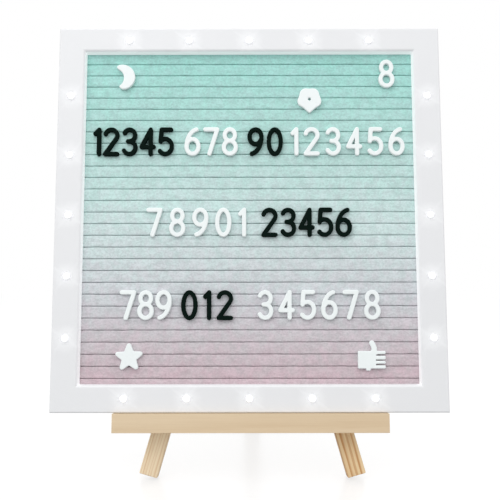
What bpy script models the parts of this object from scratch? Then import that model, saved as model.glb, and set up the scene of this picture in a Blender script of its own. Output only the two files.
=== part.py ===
"""Felt letter board with a ring of small lights, standing on a wooden easel.

The board has directions of its own: x to the right, y up its face and z out of its face, with
the origin in the middle of the frame's front face. One empty leans it back on the easel, whose
front legs lie flat against its back. Everything is in metres, and the numbers below are
millimetres times MM.
"""

import math

import bmesh
import bpy
import numpy as np
from mathutils import Vector
from mathutils.geometry import delaunay_2d_cdt

MM = 0.001
GAP = 0.3 * MM  # between pieces that touch

# The moulded frame: an open channel all round, with its front face and inner edge to the viewer
BOARD_SIZE = 254.0 * MM
BOARD_DEPTH = 16.0 * MM
BAR_WIDTH = 17.7 * MM
FRAME_WALL = 2.0 * MM
INNER_ROUND = 3.2 * MM
OUTER_ROUND = 1.0 * MM
FELT_RECESS = 5.8 * MM

# The felt panel: horizontal grooves at an even pitch, with soft rounded bars between them
GROOVE_PITCH = 7.76 * MM
GROOVE_WIDTH = 1.4 * MM
GROOVE_DEPTH = 3.6 * MM
GROOVES_BELOW_MIDDLE = 0.9 * MM
FELT_ROUND = 0.8 * MM
PANEL_UNDER_FRAME = 5.0 * MM

# The ring of lights: a narrow circuit strip behind the frame's face, its domes through holes
LIGHT_PITCH = 40.0 * MM
LIGHT_DIAMETER = 5.0 * MM
LIGHT_PROUD = 1.7 * MM
LIGHT_PLAY = 0.4 * MM
STRIP_WIDTH = 8.0 * MM
STRIP_THICKNESS = 1.2 * MM

# The back panel, set into the frame's channel
BACK_THICKNESS = 2.0 * MM
BACK_INSET = 0.3 * MM

# The battery box on the back, with a sliding cover, three cells and a slide switch
BOX_ABOVE_LEGS = 6.0 * MM
BOX_WALL = 1.6 * MM
CELLS = 3
CELL_DIAMETER = 14.2 * MM
CELL_LENGTH = 49.3 * MM
CELL_NUB_DIAMETER = 5.4 * MM
CELL_NUB_LENGTH = 1.2 * MM
SPRING_ROOM = 3.2 * MM
COVER_THICKNESS = 1.4 * MM
COVER_RAIL = 1.1 * MM
COVER_LIP = 1.2 * MM
COVER_PROUD = 0.6 * MM
GRIP_RIB = 0.9 * MM
SWITCH_BAY = 16.0 * MM
SWITCH_STEM = 4.0 * MM
SWITCH_FLANGE = 2.2 * MM
SWITCH_FLANGE_THICKNESS = 1.4 * MM
SWITCH_PROUD = 1.6 * MM
SWITCH_TRAVEL = 4.0 * MM

# The easel: two splayed front legs, a hinged rear leg, a ledge and a stop block
LEAN = math.radians(13.0)
REAR_LEG_LEAN = math.radians(18.0)
SPLAY = math.radians(15.9)
LEG_WIDTH = 12.0 * MM
LEG_THICKNESS = 10.0 * MM
FOOT_SPREAD = 135.2 * MM
FOOT_BELOW_BOARD = 41.2 * MM
LEGS_TOP = 54.0 * MM
PIN_BELOW_TOP = 16.0 * MM
PIN_DIAMETER = 4.0 * MM
PIN_PLAY = 0.3 * MM
PIN_PROUD = 1.0 * MM
LEDGE_LENGTH = 174.8 * MM
LEDGE_HEIGHT = 12.0 * MM
LEDGE_LIP = 3.0 * MM
LEDGE_EDGE = 0.4 * MM
EASED_EDGE = 0.5 * MM
EASEL_TO_RIGHT = 1.9 * MM
LEDGE_TO_LEFT = 1.2 * MM

# The push-in figures: flat plastic with two tabs behind, one in each of two grooves
CAP_HEIGHT = 19.4 * MM
DIGIT_WIDTH = 10.8 * MM
ONE_WIDTH = 5.4 * MM
STROKE = 2.85 * MM
FIGURE_THICKNESS = 2.4 * MM
FIGURE_ABOVE_GROOVE = 0.45 * MM
GROOVES_APART = 2
TAB_WIDTH = 2.0 * MM
PICTURE_UNIT = 1.0 * MM
TRACE_STEP = 0.35 * MM
TRACE_TOLERANCE = 0.09 * MM

# Sizes that follow from those above
BOARD_HALF = BOARD_SIZE / 2
OPENING_HALF = BOARD_HALF - BAR_WIDTH
GROOVES = int(2 * OPENING_HALF / GROOVE_PITCH)
LIGHTS_PER_SIDE = int(2 * OPENING_HALF / LIGHT_PITCH)
FELT_FACE = -(FELT_RECESS + GAP)
BACK_FACE = -(BOARD_DEPTH - BACK_INSET)
BACK_FRONT = BACK_FACE + BACK_THICKNESS
PANEL_BACK = BACK_FRONT + GAP
FIRST_GROOVE = (GROOVES - 1) / 2 * GROOVE_PITCH - GROOVES_BELOW_MIDDLE
LEG_FRONT = -(BOARD_DEPTH + GAP)
LEG_BACK = LEG_FRONT - LEG_THICKNESS
LEG_MIDDLE = (LEG_FRONT + LEG_BACK) / 2
PIN_HEIGHT = LEGS_TOP - PIN_BELOW_TOP
OPEN_ANGLE = LEAN + REAR_LEG_LEAN

# Rows of digits: the groove of their upper tabs, the row's left and right end as shares of the
# opening's half width, and groups of digits. A group gives its colour, its weight of space
# between two digits, and its weight of space after the last; a row shares its space by them.
ROWS = (
    (
        "row1",
        6,
        (-0.950, 0.945),
        (
            ("12345", "black", 1.3, 7.0),
            ("678", "white", 1.6, 6.3),
            ("90", "black", 2.0, 5.0),
            ("123456", "white", 3.3, 0),
        ),
    ),
    (
        "row2",
        GROOVES // 2 - 1,
        (-0.620, 0.617),
        (("78901", "white", 4.3, 9.8), ("23456", "black", 1.4, 0)),
    ),
    (
        "row3",
        GROOVES - 8,
        (-0.771, 0.778),
        (
            ("789", "white", 0.8, 6.0),
            ("012", "black", 3.4, 15.4),
            ("345678", "white", 3.1, 0),
        ),
    ),
    ("corner", 0, (0.794, 0.893), (("8", "white", 0, 0),)),
)


def finish(name, colour, roughness, metallic=0.0):
    """A plain Principled material."""
    material = bpy.data.materials.new(name)
    material.use_nodes = True
    shader = material.node_tree.nodes["Principled BSDF"]
    shader.inputs["Base Color"].default_value = (*colour, 1.0)
    shader.inputs["Roughness"].default_value = roughness
    shader.inputs["Metallic"].default_value = metallic
    return material


def empty(name, parent=None, location=(0, 0, 0), rotation=(0, 0, 0)):
    obj = bpy.data.objects.new(name, None)
    obj.parent, obj.location, obj.rotation_euler = parent, location, rotation
    bpy.context.collection.objects.link(obj)
    return obj


def piece(name, mesh, material, parent, location=(0, 0, 0), rotation=(0, 0, 0)):
    """An object of this mesh, which is a bmesh or a mesh that another piece already uses."""
    if isinstance(mesh, bmesh.types.BMesh):
        bmesh.ops.recalc_face_normals(mesh, faces=mesh.faces)
        data = bpy.data.meshes.new(name)
        mesh.to_mesh(data)
        mesh.free()
        data.shade_smooth()
        data.set_sharp_from_angle(angle=math.radians(35))
        data.materials.append(material)
    else:
        data = mesh
    obj = bpy.data.objects.new(name, data)
    obj.parent, obj.location, obj.rotation_euler = parent, location, rotation
    bpy.context.collection.objects.link(obj)
    return obj


def boolean(obj, operation, mesh, location=(0, 0, 0)):
    """Cuts this mesh out of the object, or adds it, with a hidden helper beside it."""
    helper = piece(f"{obj.name}_{operation.lower()}", mesh, None, obj, location)
    helper.hide_render, helper.display_type = True, "WIRE"
    modifier = obj.modifiers.new(operation.title(), "BOOLEAN")
    modifier.operation, modifier.object, modifier.solver = operation, helper, "EXACT"


def add_box(mesh, low, high):
    """A box between two corners, added to the mesh."""
    made = bmesh.ops.create_cube(mesh, size=1.0)["verts"]
    for vert in made:
        vert.co = Vector(
            low[i] + (high[i] - low[i]) * (vert.co[i] + 0.5) for i in range(3)
        )
    return mesh


def eased(mesh, width, segments=2):
    """Rounds every edge of the mesh by this width."""
    bmesh.ops.bevel(
        mesh,
        geom=mesh.edges[:],
        offset=width,
        segments=segments,
        profile=0.5,
        affect="EDGES",
        clamp_overlap=True,
    )
    return mesh


def prism(outline, low, high, place):
    """Extrudes an outline of (a, b) points from low to high; place turns (a, b, c) to x, y, z."""
    mesh = bmesh.new()
    lower, upper = (
        [mesh.verts.new(place(a, b, level)) for a, b in outline]
        for level in (low, high)
    )
    mesh.faces.new(lower)
    mesh.faces.new(upper)
    for i in range(len(outline)):
        j = (i + 1) % len(outline)
        mesh.faces.new((lower[i], lower[j], upper[j], upper[i]))
    return mesh


def add_turned(mesh, profile, steps, place):
    """Turns a profile of (radius, height) points about the height axis, closed at both ends."""
    rings = []
    for radius, height in profile:
        if radius == 0:
            rings.append([mesh.verts.new(place(0.0, 0.0, height))])
            continue
        turn = [2 * math.pi * k / steps for k in range(steps)]
        rings.append(
            [
                mesh.verts.new(place(radius * math.cos(t), radius * math.sin(t), height))
                for t in turn
            ]
        )
    for one, two in zip(rings, rings[1:]):
        for k in range(steps):
            n = (k + 1) % steps
            corners = [one[k % len(one)], one[n % len(one)], two[n % len(two)], two[k % len(two)]]
            mesh.faces.new(list(dict.fromkeys(corners)))
    for ring in (rings[0], rings[-1]):
        if len(ring) > 1:
            mesh.faces.new(ring)
    return mesh


def circle(x, y, radius, steps):
    turn = [2 * math.pi * k / steps for k in range(steps)]
    return [(x + radius * math.cos(t), y + radius * math.sin(t)) for t in turn]


def square(half):
    return [(-half, -half), (half, -half), (half, half), (-half, half)]


def fill(loops):
    """Triangles between closed loops of (x, y) points, each loop inside another a hole in it."""
    points = [Vector(p) / MM for loop in loops for p in loop]
    edges, first = [], 0
    for loop in loops:
        edges += [(first + k, first + (k + 1) % len(loop)) for k in range(len(loop))]
        first += len(loop)
    _, _, faces, origin, _, _ = delaunay_2d_cdt(points, edges, [], 0, 1e-6)
    ends = np.array([[points[a], points[b]] for a, b in edges])
    inside = []
    for face in faces:
        corners = [origin[k][0] for k in face]
        x, y = np.mean([points[k] for k in corners], axis=0)
        (x0, y0), (x1, y1) = ends[:, 0].T, ends[:, 1].T
        spans = (y0 > y) != (y1 > y)
        reach = x0[spans] + (y - y0[spans]) / (y1 - y0)[spans] * (x1 - x0)[spans]
        if (reach > x).sum() % 2:
            inside.append(corners)
    return inside


def slab(loops, back, front, on_back=(), on_front=()):
    """A flat plate between two levels, whose outline is loops of (x, y) points.

    Each boss on its back or front is a list of (loop, level) sections: the first lies on the
    plate's own face, each is joined to the next, and the last is closed.
    """
    mesh = bmesh.new()
    walls = []
    for level, bosses in ((back, on_back), (front, on_front)):
        sections = loops + [boss[0][0] for boss in bosses]
        rings = [[mesh.verts.new((x, y, level)) for x, y in loop] for loop in sections]
        flat = [vert for ring in rings for vert in ring]
        for corners in fill(sections):
            mesh.faces.new([flat[k] for k in corners])
        walls.append(rings[: len(loops)])
        for boss, ring in zip(bosses, rings[len(loops) :]):
            for section, height in boss[1:]:
                upper = [mesh.verts.new((x, y, height)) for x, y in section]
                for k in range(len(ring)):
                    n = (k + 1) % len(ring)
                    mesh.faces.new((ring[k], ring[n], upper[n], upper[k]))
                ring = upper
            mesh.faces.new(ring)
    for lower, upper in zip(*walls):
        for k in range(len(lower)):
            n = (k + 1) % len(lower)
            mesh.faces.new((lower[k], lower[n], upper[n], upper[k]))
    return mesh


def frame_mesh():
    """The channel's section swept round the square: each (inset, level) makes a square ring.

    The mitred corners keep the rounded inner edge sharp where two sides meet, as on a moulding.
    """
    quarter = [math.pi / 2 * k / 6 for k in range(7)]
    section = [
        (0.0, -BOARD_DEPTH),
        (FRAME_WALL, -BOARD_DEPTH),
        (FRAME_WALL, -FRAME_WALL),
        (BAR_WIDTH - FRAME_WALL, -FRAME_WALL),
        (BAR_WIDTH - FRAME_WALL, -FELT_RECESS),
        (BAR_WIDTH, -FELT_RECESS),
    ]
    centre = BAR_WIDTH - INNER_ROUND
    section += [
        (centre + INNER_ROUND * math.cos(t), INNER_ROUND * (math.sin(t) - 1)) for t in quarter
    ]
    section += [
        (OUTER_ROUND * (1 - math.sin(t)), OUTER_ROUND * (math.cos(t) - 1)) for t in quarter[::2]
    ]
    mesh = bmesh.new()
    rings = [
        [mesh.verts.new((x, y, level)) for x, y in square(BOARD_HALF - inset)]
        for inset, level in section
    ]
    for one, two in zip(rings, rings[1:] + rings[:1]):
        for k in range(4):
            n = (k + 1) % 4
            mesh.faces.new((one[k], one[n], two[n], two[k]))
    return mesh


def light_places():
    """The (x, y) of each light, along the middle of each side of the frame."""
    reach = BOARD_HALF - BAR_WIDTH / 2
    along = [(k - (LIGHTS_PER_SIDE - 1) / 2) * LIGHT_PITCH for k in range(LIGHTS_PER_SIDE)]
    for t in along:
        yield from ((t, reach), (t, -reach), (reach, t), (-reach, t))


def light_holes():
    mesh = bmesh.new()
    radius = LIGHT_DIAMETER / 2 + LIGHT_PLAY
    for x, y in light_places():
        ends = [(radius, -2 * FRAME_WALL), (radius, FRAME_WALL)]
        add_turned(mesh, ends, 12, lambda a, b, c, x=x, y=y: (x + a, y + b, c))
    return mesh


def strip_mesh():
    """One ring of circuit board with a round-nosed light standing on it at each place."""
    middle = BOARD_HALF - BAR_WIDTH / 2
    outer, inner = square(middle + STRIP_WIDTH / 2), square(middle - STRIP_WIDTH / 2)
    front = -(FRAME_WALL + GAP)
    radius = LIGHT_DIAMETER / 2
    shoulder = LIGHT_PROUD - radius
    nose = [(radius * math.cos(t), radius * math.sin(t)) for t in (0.0, 0.6, 1.15)]
    domes = [
        [(circle(x, y, radius, 10), front)]
        + [(circle(x, y, r, 10), shoulder + rise) for r, rise in nose]
        for x, y in light_places()
    ]
    return slab([outer, inner], front - STRIP_THICKNESS, front, on_front=domes)


def groove_height(index):
    return FIRST_GROOVE - index * GROOVE_PITCH


def felt_mesh():
    """The grooved section drawn from top to bottom, then extruded across the board."""
    half = OPENING_HALF + PANEL_UNDER_FRAME
    arc = [math.pi / 2 * k / 2 for k in range(3)]
    lip = [
        (FELT_ROUND * (1 - math.sin(t)), FELT_FACE - FELT_ROUND * (1 - math.cos(t))) for t in arc
    ]
    section = [(half, PANEL_BACK), (half, FELT_FACE)]
    for index in range(GROOVES):
        middle = groove_height(index)
        for side in (1, -1):
            wall = [(GROOVE_WIDTH / 2 + out, level) for out, level in lip]
            wall.append((GROOVE_WIDTH / 2, FELT_FACE - GROOVE_DEPTH))
            section += [(middle + side * out, level) for out, level in wall[::side]]
    section += [(-half, FELT_FACE), (-half, PANEL_BACK)]
    return prism(section, -half, half, lambda a, b, c: (c, a, b))


def back_mesh():
    half = BOARD_HALF - FRAME_WALL - GAP
    return add_box(bmesh.new(), (-half, -half, BACK_FACE), (half, half, BACK_FRONT))


# Battery box: x to the right, y up, z back towards the panel, from the box's own middle on the
# back panel's rear face. Depths run backwards, so the box lies at negative z.
BAY_WIDTH = CELL_LENGTH + CELL_NUB_LENGTH + 2 * SPRING_ROOM
BAY_HEIGHT = CELLS * CELL_DIAMETER + (CELLS + 1) * GAP
BAY_DEPTH = CELL_DIAMETER + 2 * GAP
BOX_WIDTH = BAY_WIDTH + 2 * COVER_RAIL + SWITCH_BAY + 3 * BOX_WALL
BOX_HEIGHT = BAY_HEIGHT + 2 * BOX_WALL
BOX_FRONT = -GAP
BAY_FLOOR = BOX_FRONT - BOX_WALL
BAY_RIM = BAY_FLOOR - BAY_DEPTH
CHANNEL_END = BAY_RIM - COVER_THICKNESS - 2 * GAP
BOX_REAR = CHANNEL_END - COVER_LIP
BAY_LEFT = -BOX_WIDTH / 2 + BOX_WALL + COVER_RAIL
BAY_RIGHT = BAY_LEFT + BAY_WIDTH
BAY_BOTTOM = -BOX_HEIGHT / 2 + BOX_WALL
SWITCH_X = BAY_RIGHT + COVER_RAIL + BOX_WALL + SWITCH_BAY / 2


def box_mesh():
    low = (-BOX_WIDTH / 2, -BOX_HEIGHT / 2, BOX_REAR)
    mesh = add_box(bmesh.new(), low, (BOX_WIDTH / 2, BOX_HEIGHT / 2, BOX_FRONT))
    return eased(mesh, EASED_EDGE, 1)


def cover_mesh():
    """A plate that runs under two lips, thicker between them, with ribs to grip."""
    bottom, top = BAY_BOTTOM + GAP, BOX_HEIGHT / 2
    left, right = BAY_LEFT - COVER_RAIL + GAP, BAY_RIGHT + COVER_RAIL - GAP
    front, edge = BAY_RIM - GAP, BAY_RIM - GAP - COVER_THICKNESS
    rear = BOX_REAR - COVER_PROUD
    section = [
        (left, front),
        (right, front),
        (right, edge),
        (BAY_RIGHT - GAP, edge),
        (BAY_RIGHT - GAP, rear),
        (BAY_LEFT + GAP, rear),
        (BAY_LEFT + GAP, edge),
        (left, edge),
    ]
    return prism(section, bottom, top, lambda a, b, c: (a, c, b))


def grip_ribs():
    """Five short ribs across the cover near its foot, sunk a little into it."""
    mesh = bmesh.new()
    middle = (BAY_LEFT + BAY_RIGHT) / 2
    rear = BOX_REAR - COVER_PROUD
    for k in range(5):
        y = BAY_BOTTOM + (4 + 2 * k) * GRIP_RIB + GAP
        half = BAY_WIDTH / 8
        low = (middle - half, y, rear - GRIP_RIB / 2)
        add_box(mesh, low, (middle + half, y + GRIP_RIB, rear + GRIP_RIB / 2))
    return mesh


def cell_mesh():
    """A round cell lying along x: flat negative end, bevelled can, and the nub."""
    radius, nub = CELL_DIAMETER / 2, CELL_NUB_DIAMETER / 2
    ease = radius / 12
    profile = [
        (radius - ease, 0),
        (radius, ease),
        (radius, CELL_LENGTH - ease),
        (radius - ease, CELL_LENGTH),
        (nub, CELL_LENGTH),
        (nub, CELL_LENGTH + CELL_NUB_LENGTH),
    ]
    return add_turned(bmesh.new(), profile, 16, lambda a, b, c: (c, a, b))


def switch_mesh():
    """A stem with a flange inside the box, drawn from the middle of its travel slot's face."""
    half, flange = SWITCH_STEM / 2, SWITCH_STEM / 2 + SWITCH_FLANGE
    inside = BOX_WALL + GAP
    low = inside + SWITCH_FLANGE_THICKNESS
    section = [
        (-flange, low),
        (flange, low),
        (flange, inside),
        (half, inside),
        (half, -SWITCH_PROUD),
        (-half, -SWITCH_PROUD),
        (-half, inside),
        (-flange, inside),
    ]
    return prism(section, -SWITCH_STEM / 2, SWITCH_STEM / 2, lambda a, b, c: (c, a, b))


# Figures. Each shape is a field over the plane: negative inside, zero on the outline, and about
# the distance to it elsewhere. The outline is traced from the field, so strokes that cross or
# meet become one outline with round ends and clean holes.


def arc(x, y, rx, ry, start, end, steps=28):
    turn = np.radians(np.linspace(start, end, steps))
    return [(x + rx * math.cos(t), y + ry * math.sin(t)) for t in turn]


def digit_strokes(digit):
    """The centre lines of one digit, in a box centred on the origin."""
    w, h = (DIGIT_WIDTH - STROKE) / 2, (CAP_HEIGHT - STROKE) / 2
    if digit == "0":
        return [arc(0, 0, w, h, 0, 360, 60)]
    if digit == "1":
        x = (ONE_WIDTH - STROKE) / 2
        return [[(-x, h - 2.2 * x), (x, h), (x, -h)]]
    if digit == "2":
        return [arc(0, h - w, w, w, 165, -38) + [(-w, -h), (w, -h)]]
    if digit == "3":
        upper = arc(0, h * 0.52, w * 0.92, h * 0.48, 155, -90)
        lower = arc(0, -h * 0.48, w, h * 0.52, 90, -152)
        return [upper + [(-w * 0.25, h * 0.04)], lower]
    if digit == "4":
        return [[(w * 0.5, -h), (w * 0.5, h), (-w, -h * 0.42), (w, -h * 0.42)]]
    if digit == "5":
        bowl = arc(-w * 0.1, -h * 0.38, w * 1.1, h * 0.62, 118, -142)
        return [[(w * 0.85, h), (-w * 0.72, h), (-w * 0.88, h * 0.02)], bowl]
    if digit in "69":
        bowl = arc(0, -h * 0.4, w, h * 0.6, 0, 360, 50)
        back = arc(w * 0.9, -h * 0.4, w * 1.9, h * 1.4, 180, 98)
        turned = 1 if digit == "6" else -1
        return [[(turned * x, turned * y) for x, y in line] for line in (bowl, back)]
    if digit == "7":
        return [[(-w, h), (w, h), (-w * 0.3, -h)]]
    upper = arc(0, h * 0.53, w * 0.86, h * 0.47, 0, 360, 50)
    return [upper, arc(0, -h * 0.47, w, h * 0.53, 0, 360, 50)]


def distance_to(lines, x, y):
    """Distance from each (x, y) to the nearest of these centre lines."""
    near = np.full(x.shape, np.inf)
    for line in lines:
        for (ax, ay), (bx, by) in zip(line, line[1:]):
            dx, dy = bx - ax, by - ay
            t = ((x - ax) * dx + (y - ay) * dy) / max(dx * dx + dy * dy, 1e-18)
            t = np.clip(t, 0, 1)
            near = np.minimum(near, np.hypot(x - ax - t * dx, y - ay - t * dy))
    return near


def round_box(x, y, low, high, radius):
    """Distance to a box with rounded corners."""
    dx = np.abs(x - (low[0] + high[0]) / 2) - (high[0] - low[0]) / 2 + radius
    dy = np.abs(y - (low[1] + high[1]) / 2) - (high[1] - low[1]) / 2 + radius
    outside = np.hypot(np.maximum(dx, 0), np.maximum(dy, 0))
    return outside + np.minimum(np.maximum(dx, dy), 0) - radius


def blend_min(a, b, reach):
    """The smaller of two fields, with the crease between them filleted over this reach."""
    mix = np.clip(0.5 + 0.5 * (b - a) / reach, 0, 1)
    return b + (a - b) * mix - reach * mix * (1 - mix)


# The pictures are drawn in units, which PICTURE_UNIT turns into metres.


def moon(x, y):
    """A disc less a smaller disc at its left, its two horns cut off blunt."""
    disc = np.hypot(x + 2.1, y) - 8.65
    bite = 6.5 - np.hypot(x + 7.5, y + 0.6)
    left = -(x + 5.9)
    below = -(x * 0.68 + y * 0.73 + 7.9)
    body = -blend_min(-disc, -bite, 1.2)
    return -blend_min(-body, -np.maximum(left, below), 1.6)


def flower(x, y):
    """Five round petals about a disc, the lowest drawn to a point, with a hole in the middle."""
    body = np.hypot(x, y) - 7.0
    for angle in np.radians((54, 126, 198, 342)):
        petal = np.hypot(x - 4.6 * math.cos(angle), y - 4.6 * math.sin(angle)) - 3.6
        body = blend_min(body, petal, 1.6)
    tip = distance_to([[(0, -4.5), (0, -8.1)]], x, y) - 1.1
    low = np.hypot(x, y + 5.6) - 2.6
    body = blend_min(body, blend_min(low, tip, 1.6), 2.2)
    return np.maximum(body, 1.0 - np.hypot(x, y))


def star(x, y):
    """Five arms, each a stroke that tapers from the middle to a round tip."""
    reach = np.full(x.shape, np.inf)
    for turn in np.radians(91 + 72 * np.arange(5)):
        along = x * math.cos(turn) + y * math.sin(turn)
        across = np.abs(-x * math.sin(turn) + y * math.cos(turn))
        t = np.clip(along / 7.6, 0, 1)
        reach = np.minimum(reach, np.hypot(across, along - t * 7.6) - (4.6 - 3.1 * t))
    return reach


def thumb(x, y):
    """A fist with its thumb up: a palm, four fingers parted by slots, and a bent thumb."""
    body = round_box(x, y, (-8.9, -8.3), (2.6, 3.0), 0.7)
    for low, high in ((0.9, 3.0), (-2.5, -0.1), (-5.2, -3.4), (-8.3, -6.2)):
        body = np.minimum(body, round_box(x, y, (0.0, low), (8.9, high), 0.8))
    bent = distance_to([[(1.3, 1.5), (1.7, 4.4), (1.1, 6.4), (0.2, 8.0)]], x, y) - 1.7
    foot = round_box(x, y, (-3.7, -9.6), (-0.9, -7.0), 0.5)
    return np.minimum(blend_min(body, bent, 0.8), foot)


# Each picture's place: a share of the opening's half width, and units from one groove.
PICTURES = (
    ("moon_figure", moon, -0.760, 1, -1.7),
    ("flower_figure", flower, 0.369, 3, -1.7),
    ("star_figure", star, -0.709, GROOVES - 3, -2.2),
    ("thumb_figure", thumb, 0.720, GROOVES - 3, -1.1),
)


def trace(field, half_x, half_y):
    """The closed outlines where a field is zero, by marching over a square grid."""
    xs = np.arange(-half_x, half_x + TRACE_STEP, TRACE_STEP)
    ys = np.arange(-half_y, half_y + TRACE_STEP, TRACE_STEP)
    value = field(*np.meshgrid(xs, ys, indexing="ij"))
    value[value == 0] = 1e-9
    sides = {0: (0, 0, 1, 0), 1: (1, 0, 1, 1), 2: (1, 1, 0, 1), 3: (0, 1, 0, 0)}
    follow = {}
    inside = value < 0
    mixed = inside[:-1, :-1].astype(int) + inside[1:, :-1] + inside[1:, 1:] + inside[:-1, 1:]
    for i, j in np.argwhere((mixed > 0) & (mixed < 4)):
        leave = []
        for side, (a, b, c, d) in sides.items():
            start, end = inside[i + a, j + b], inside[i + c, j + d]
            if start != end:
                key = tuple(sorted(((i + a, j + b), (i + c, j + d))))
                leave.append((side, bool(start), key))
        ins = [key for _, start, key in leave if start]
        outs = [key for _, start, key in leave if not start]
        for a, b in zip(ins, outs):
            follow[a] = b
    loops = []
    while follow:
        key, loop = next(iter(follow)), []
        while key in follow:
            (i, j), (k, m) = key
            t = value[i, j] / (value[i, j] - value[k, m])
            loop.append((xs[i] + t * (xs[k] - xs[i]), ys[j] + t * (ys[m] - ys[j])))
            key = follow.pop(key)
        loops.append(thinned(loop))
    return loops


def thinned(loop):
    """Leaves out each point that lies within the tolerance of the line past it."""

    def keep(start, end):
        if end - start < 2:
            return []
        a, b = points[start], points[end]
        d = b - a
        off = np.abs(np.cross(d, points[start + 1 : end] - a)) / max(np.hypot(*d), 1e-12)
        worst = int(off.argmax())
        if off[worst] < TRACE_TOLERANCE:
            return []
        middle = start + 1 + worst
        return [*keep(start, middle), middle, *keep(middle, end)]

    points = np.array([*loop, loop[0]])
    far = int(np.hypot(*(points - points[0]).T).argmax())
    kept = [0, *keep(0, far), far, *keep(far, len(loop))]
    return [tuple(points[k]) for k in kept]


def tab_loop(x, y):
    half_x, half_y = TAB_WIDTH / 2, GROOVE_WIDTH / 2 - GAP
    corners = square(1)
    return [(x + a * half_x, y + b * half_y) for a, b in corners]


def figure_mesh(field, half_x, half_y, grooves):
    """A flat figure traced from its field, with a tab behind it in two of these grooves.

    A tab stands where the figure has the most plastic behind it at that groove's height.
    """
    reach = np.arange(-half_x, half_x, TRACE_STEP)
    places = []
    for y in grooves:
        if abs(y) > half_y:
            continue
        depth = np.max([field(reach + a, y + b + 0 * reach) for a, b in tab_loop(0, 0)], axis=0)
        best = int(np.argmin(depth + 0.02 * np.abs(reach)))
        if depth[best] < -GAP / 2:
            places.append((reach[best], y))
    places = [places[0], places[-1]]
    level = -(GROOVE_DEPTH - 2 * GAP)
    tabs = [[(tab_loop(x, y), 0.0), (tab_loop(x, y), level)] for x, y in places]
    return slab(trace(field, half_x, half_y), 0.0, FIGURE_THICKNESS, on_back=tabs)


def build_board(board, finishes):
    """The frame, lights, felt and back panel, all standing still in the board's own space."""
    frame = piece("frame", frame_mesh(), finishes["frame"], board)
    boolean(frame, "DIFFERENCE", light_holes())
    piece("light_strip", strip_mesh(), finishes["light"], board)
    piece("felt_panel", felt_mesh(), finishes["felt"], board)
    piece("back_panel", back_mesh(), finishes["frame"], board)


def build_figures(board, finishes):
    """Rows of digits and four pictures, each pressed into two grooves of the felt."""
    apart = GROOVES_APART * GROOVE_PITCH
    level = FELT_FACE + GAP
    meshes = {}
    for row, groove, (left, right), groups in ROWS:
        y = groove_height(groove) - apart / 2 + FIGURE_ABOVE_GROOVE
        places = []
        for digits, colour, between, after in groups:
            spaces = [between] * (len(digits) - 1) + [after]
            widths = [ONE_WIDTH if digit == "1" else DIGIT_WIDTH for digit in digits]
            places += zip(digits, [colour] * len(digits), widths, spaces)
        free = (right - left) * OPENING_HALF - sum(width for _, _, width, _ in places)
        weight = sum(space for _, _, _, space in places) or 1
        x = left * OPENING_HALF
        for number, (digit, colour, width, space) in enumerate(places, 1):
            mesh = meshes.get((digit, colour))
            if mesh is None:
                lines = digit_strokes(digit)
                mesh = figure_mesh(
                    lambda a, b, lines=lines: distance_to(lines, a, b) - STROKE / 2,
                    DIGIT_WIDTH / 2 + STROKE,
                    CAP_HEIGHT / 2 + STROKE,
                    [side * apart / 2 - FIGURE_ABOVE_GROOVE for side in (1, -1)],
                )
            place = (x + width / 2, y, level)
            obj = piece(f"{row}_digit{number:02d}", mesh, finishes[colour], board, place)
            meshes[digit, colour] = obj.data
            x += width + free * space / weight
    for name, shape, share, groove, above in PICTURES:
        y = groove_height(groove) + above * PICTURE_UNIT
        half = 12 * PICTURE_UNIT
        mesh = figure_mesh(
            lambda a, b, shape=shape: shape(a / PICTURE_UNIT, b / PICTURE_UNIT) * PICTURE_UNIT,
            half,
            half,
            [groove_height(k) - y for k in range(GROOVES)],
        )
        place = (share * OPENING_HALF, y, level)
        piece(name, mesh, finishes["white"], board, place)


def build_battery_box(board, finishes):
    """The box's shell with its hollows cut, then the cover, the cells and the switch in it."""
    middle = LEGS_TOP + BOX_ABOVE_LEGS + BOX_HEIGHT / 2
    box = empty("battery_box_place", board, (0, middle, BACK_FACE))
    shell = piece("battery_box", box_mesh(), finishes["frame"], box)
    past = BOX_HEIGHT / 2 + BOX_WALL
    bay_top = BAY_BOTTOM + BAY_HEIGHT
    rear = BOX_REAR - BOX_WALL
    left, right = BAY_LEFT - COVER_RAIL, BAY_RIGHT + COVER_RAIL
    cuts = [
        ((BAY_LEFT, BAY_BOTTOM, rear), (BAY_RIGHT, bay_top, BAY_FLOOR)),
        ((left, BAY_BOTTOM, CHANNEL_END), (right, past, BAY_RIM)),
        ((BAY_LEFT, BAY_BOTTOM, rear), (BAY_RIGHT, past, BAY_RIM - GAP)),
    ]
    bay = SWITCH_BAY / 2
    cuts.append(
        (
            (SWITCH_X - bay, BAY_BOTTOM, BOX_REAR + BOX_WALL),
            (SWITCH_X + bay, bay_top, BOX_WALL),
        )
    )
    slot_x = SWITCH_STEM / 2 + GAP
    slot_y = (SWITCH_STEM + SWITCH_TRAVEL) / 2 + GAP
    cuts.append(
        ((SWITCH_X - slot_x, -slot_y, rear), (SWITCH_X + slot_x, slot_y, BOX_REAR + 2 * BOX_WALL))
    )
    for low, high in cuts:
        boolean(shell, "DIFFERENCE", add_box(bmesh.new(), low, high))
    cover = piece("battery_cover", cover_mesh(), finishes["frame"], box)
    boolean(cover, "UNION", grip_ribs())
    for k in range(CELLS):
        y = BAY_BOTTOM + GAP + CELL_DIAMETER / 2 + k * (CELL_DIAMETER + GAP)
        z = BAY_FLOOR - GAP - CELL_DIAMETER / 2
        turned = (0, 0, math.pi) if k % 2 else (0, 0, 0)
        x = BAY_LEFT + SPRING_ROOM
        if k % 2:
            x = BAY_RIGHT - SPRING_ROOM
        piece(f"cell_{k + 1}", cell_mesh(), finishes["cell"], box, (x, y, z), turned)
    place = (SWITCH_X, -SWITCH_TRAVEL / 2, BOX_REAR)
    piece("power_switch", switch_mesh(), finishes["switch"], box, place)


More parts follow.
